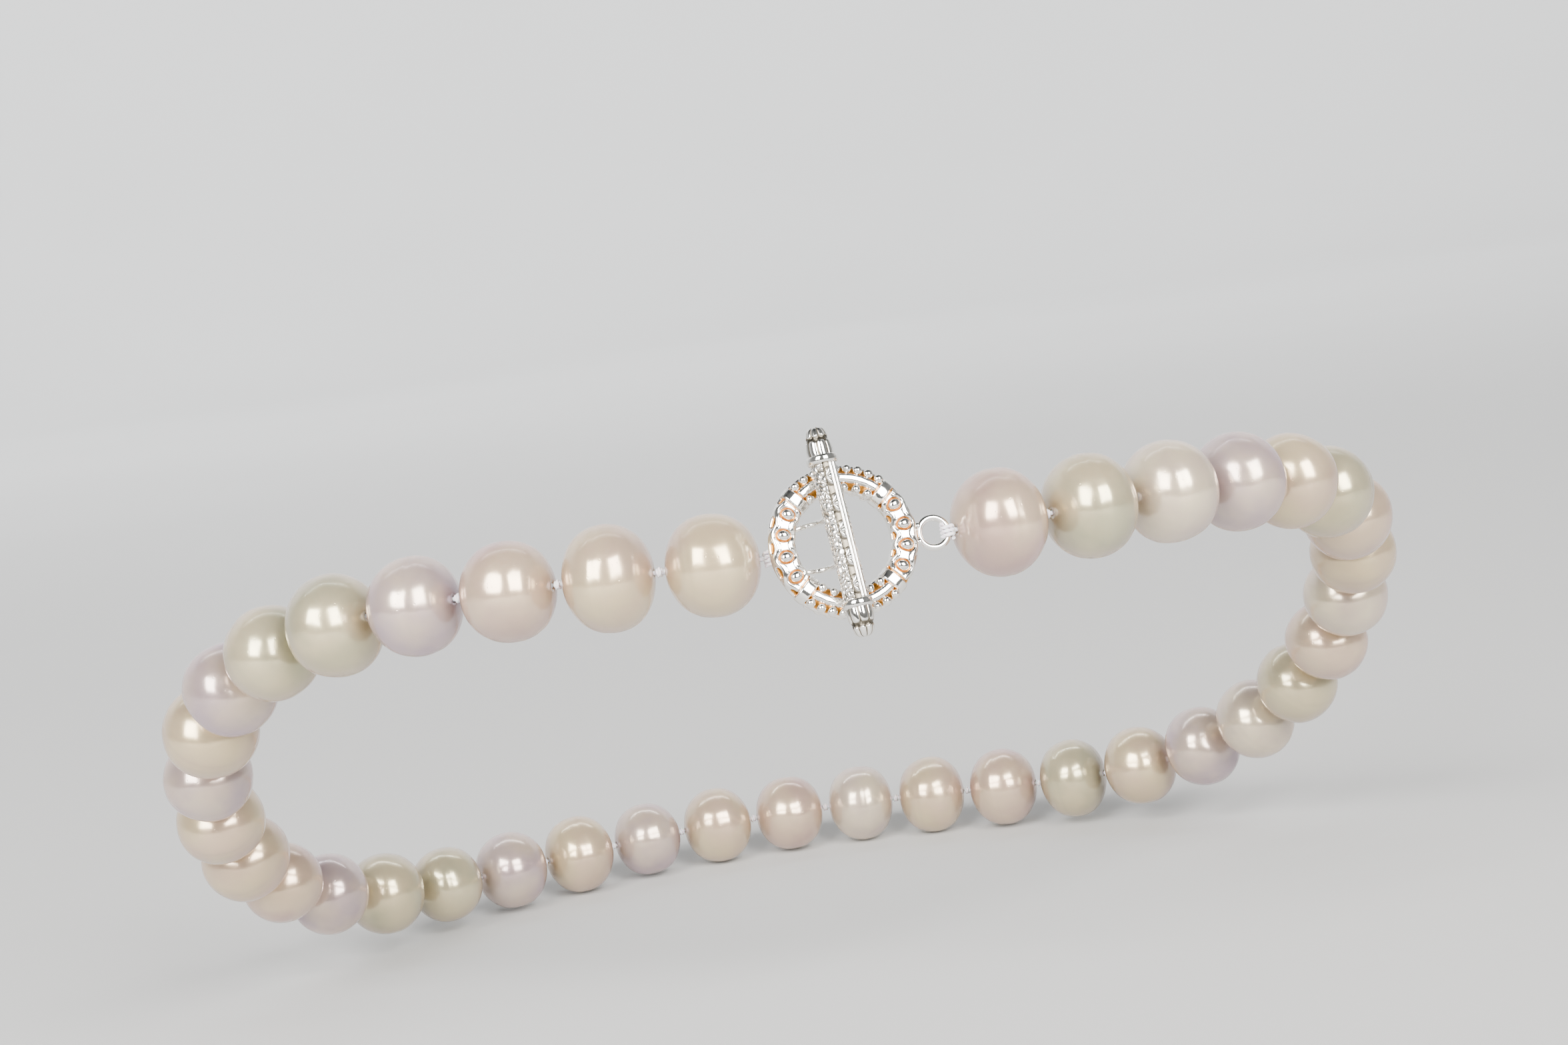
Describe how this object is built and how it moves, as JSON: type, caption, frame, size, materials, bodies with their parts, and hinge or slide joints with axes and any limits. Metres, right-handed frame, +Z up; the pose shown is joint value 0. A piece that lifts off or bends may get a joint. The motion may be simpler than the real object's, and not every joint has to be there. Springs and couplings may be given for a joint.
{
  "type": "pearl necklace",
  "caption": "Short single strand of large freshwater pearls, knotted on silk, in its worn shape, closed by a toggle clasp at the nape.",
  "frame": {"origin": "middle of the neck opening, level with the clasp at the nape", "axes": "+Z up along the neck, +Y from the nape to the chest, +X to the right when seen from behind"},
  "size_m": [0.1524, 0.1191, 0.0701],
  "materials": {
    "pearl": "lustrous nacre, cream with rose, lilac and green overtones",
    "silk": "twisted silk, off-white",
    "clasp_metal": "silver plate on the high spots, gold tone in the recesses",
    "bar_metal": "silver plate with a nugget texture and a polished rail"
  },
  "bodies": {
    "clasp": {"clasp_ring": "clasp_metal", "eyelet": "clasp_metal"},
    "toggle": {"toggle_bar": "bar_metal"},
    "right_01": {"pearl_r01": "pearl", "pearl_r02": "pearl", "silk_r01": "silk"},
    "right_02": {"pearl_r03": "pearl", "pearl_r04": "pearl", "silk_r02": "silk"},
    "right_03": {"pearl_r05": "pearl", "pearl_r06": "pearl", "silk_r03": "silk"},
    "right_04": {"pearl_r07": "pearl", "pearl_r08": "pearl", "silk_r04": "silk"},
    "right_05": {"pearl_r09": "pearl", "pearl_r10": "pearl", "silk_r05": "silk"},
    "right_06": {"pearl_r11": "pearl", "pearl_r12": "pearl", "silk_r06": "silk"},
    "right_07": {"pearl_r13": "pearl", "pearl_r14": "pearl", "silk_r07": "silk"},
    "right_08": {"pearl_r15": "pearl", "pearl_r16": "pearl", "silk_r08": "silk"},
    "right_09": {"pearl_r17": "pearl", "pearl_r18": "pearl", "silk_r09": "silk"},
    "left_01": {"pearl_l01": "pearl", "pearl_l02": "pearl", "silk_l01": "silk"},
    "left_02": {"pearl_l03": "pearl", "pearl_l04": "pearl", "silk_l02": "silk"},
    "left_03": {"pearl_l05": "pearl", "pearl_l06": "pearl", "silk_l03": "silk"},
    "left_04": {"pearl_l07": "pearl", "pearl_l08": "pearl", "silk_l04": "silk"},
    "left_05": {"pearl_l09": "pearl", "pearl_l10": "pearl", "silk_l05": "silk"},
    "left_06": {"pearl_l11": "pearl", "pearl_l12": "pearl", "silk_l06": "silk"},
    "left_07": {"pearl_l13": "pearl", "pearl_l14": "pearl", "silk_l07": "silk"},
    "left_08": {"pearl_l15": "pearl", "pearl_l16": "pearl", "silk_l08": "silk"},
    "left_09": {"pearl_l17": "pearl", "pearl_l18": "pearl", "silk_l09": "silk"},
    "front": {"pearl_r19": "pearl", "pearl_l19": "pearl", "silk_front": "silk"}
  },
  "joints": [
    {"name": "right_01_flex", "type": "hinge", "parent": "clasp", "child": "right_01", "pos_m": [0.00919, -0.05353, 0], "axis": [0, 0, 1], "range_deg": [-8, 8]},
    {"name": "right_02_flex", "type": "hinge", "parent": "right_01", "child": "right_02", "pos_m": [0.03019, -0.04892, -0.0001], "axis": [0, 0, 1], "range_deg": [-5.41, 5.41]},
    {"name": "right_03_flex", "type": "hinge", "parent": "right_02", "child": "right_03", "pos_m": [0.04901, -0.03914, -0.00153], "axis": [0, 0, 1], "range_deg": [-0.2328, 0.2328]},
    {"name": "right_04_flex", "type": "hinge", "parent": "right_03", "child": "right_04", "pos_m": [0.06329, -0.02465, -0.00734], "axis": [0, 0, 1], "range_deg": [-5.04, 5.04]},
    {"name": "right_05_flex", "type": "hinge", "parent": "right_04", "child": "right_05", "pos_m": [0.07037, -0.00853, -0.01874], "axis": [0, 0, 1], "range_deg": [-8.36, 8.36]},
    {"name": "right_06_flex", "type": "hinge", "parent": "right_05", "child": "right_06", "pos_m": [0.07055, 0.00721, -0.0327], "axis": [0, 0, 1], "range_deg": [-8.46, 8.46]},
    {"name": "right_07_flex", "type": "hinge", "parent": "right_06", "child": "right_07", "pos_m": [0.06378, 0.02347, -0.04444], "axis": [0, 0, 1], "range_deg": [-5.31, 5.31]},
    {"name": "right_08_flex", "type": "hinge", "parent": "right_07", "child": "right_08", "pos_m": [0.04975, 0.03814, -0.05053], "axis": [0, 0, 1], "range_deg": [-0.122, 0.122]},
    {"name": "right_09_flex", "type": "hinge", "parent": "right_08", "child": "right_09", "pos_m": [0.03125, 0.04809, -0.05208], "axis": [0, 0, 1], "range_deg": [-5.16, 5.16]},
    {"name": "left_01_flex", "type": "hinge", "parent": "clasp", "child": "left_01", "pos_m": [-0.00919, -0.05353, 0], "axis": [0, 0, 1], "range_deg": [-8.02, 8.02]},
    {"name": "left_02_flex", "type": "hinge", "parent": "left_01", "child": "left_02", "pos_m": [-0.03019, -0.04892, -0.0001], "axis": [0, 0, 1], "range_deg": [-5.41, 5.41]},
    {"name": "left_03_flex", "type": "hinge", "parent": "left_02", "child": "left_03", "pos_m": [-0.04901, -0.03914, -0.00153], "axis": [0, 0, 1], "range_deg": [-0.2328, 0.2328]},
    {"name": "left_04_flex", "type": "hinge", "parent": "left_03", "child": "left_04", "pos_m": [-0.06329, -0.02465, -0.00734], "axis": [0, 0, 1], "range_deg": [-5.04, 5.04]},
    {"name": "left_05_flex", "type": "hinge", "parent": "left_04", "child": "left_05", "pos_m": [-0.07037, -0.00853, -0.01874], "axis": [0, 0, 1], "range_deg": [-8.36, 8.36]},
    {"name": "left_06_flex", "type": "hinge", "parent": "left_05", "child": "left_06", "pos_m": [-0.07055, 0.00721, -0.0327], "axis": [0, 0, 1], "range_deg": [-8.46, 8.46]},
    {"name": "left_07_flex", "type": "hinge", "parent": "left_06", "child": "left_07", "pos_m": [-0.06378, 0.02347, -0.04444], "axis": [0, 0, 1], "range_deg": [-5.31, 5.31]},
    {"name": "left_08_flex", "type": "hinge", "parent": "left_07", "child": "left_08", "pos_m": [-0.04975, 0.03814, -0.05053], "axis": [0, 0, 1], "range_deg": [-0.122, 0.122]},
    {"name": "left_09_flex", "type": "hinge", "parent": "left_08", "child": "left_09", "pos_m": [-0.03125, 0.04809, -0.05208], "axis": [0, 0, 1], "range_deg": [-5.16, 5.16]},
    {"name": "front_flex", "type": "hinge", "parent": "right_09", "child": "front", "pos_m": [0.01078, 0.05291, -0.0522], "axis": [0, 0, 1], "range_deg": [-8.46, 8.46]},
    {"name": "toggle_lift", "type": "hinge", "parent": "clasp", "child": "toggle", "pos_m": [-0.00919, -0.05353, 0], "axis": [0.0715, -0.2521, -0.9651], "range_deg": [0, 8]}
  ],
  "couplings": [
    {"joint": "right_02_flex", "follows": "right_01_flex", "ratio": 0.67346},
    {"joint": "right_03_flex", "follows": "right_01_flex", "ratio": 0.026606},
    {"joint": "right_04_flex", "follows": "right_01_flex", "ratio": -0.62735},
    {"joint": "right_05_flex", "follows": "right_01_flex", "ratio": -1.0423},
    {"joint": "right_06_flex", "follows": "right_01_flex", "ratio": -1.0549},
    {"joint": "right_07_flex", "follows": "right_01_flex", "ratio": -0.66112},
    {"joint": "right_08_flex", "follows": "right_01_flex", "ratio": -0.012756},
    {"joint": "right_09_flex", "follows": "right_01_flex", "ratio": 0.64309},
    {"joint": "left_01_flex", "follows": "right_01_flex", "ratio": -1},
    {"joint": "left_02_flex", "follows": "right_01_flex", "ratio": -0.67346},
    {"joint": "left_03_flex", "follows": "right_01_flex", "ratio": -0.026606},
    {"joint": "left_04_flex", "follows": "right_01_flex", "ratio": 0.62735},
    {"joint": "left_05_flex", "follows": "right_01_flex", "ratio": 1.0423},
    {"joint": "left_06_flex", "follows": "right_01_flex", "ratio": 1.0549},
    {"joint": "left_07_flex", "follows": "right_01_flex", "ratio": 0.66112},
    {"joint": "left_08_flex", "follows": "right_01_flex", "ratio": 0.012756},
    {"joint": "left_09_flex", "follows": "right_01_flex", "ratio": -0.64309},
    {"joint": "front_flex", "follows": "right_01_flex", "ratio": 1.0553}
  ]
}
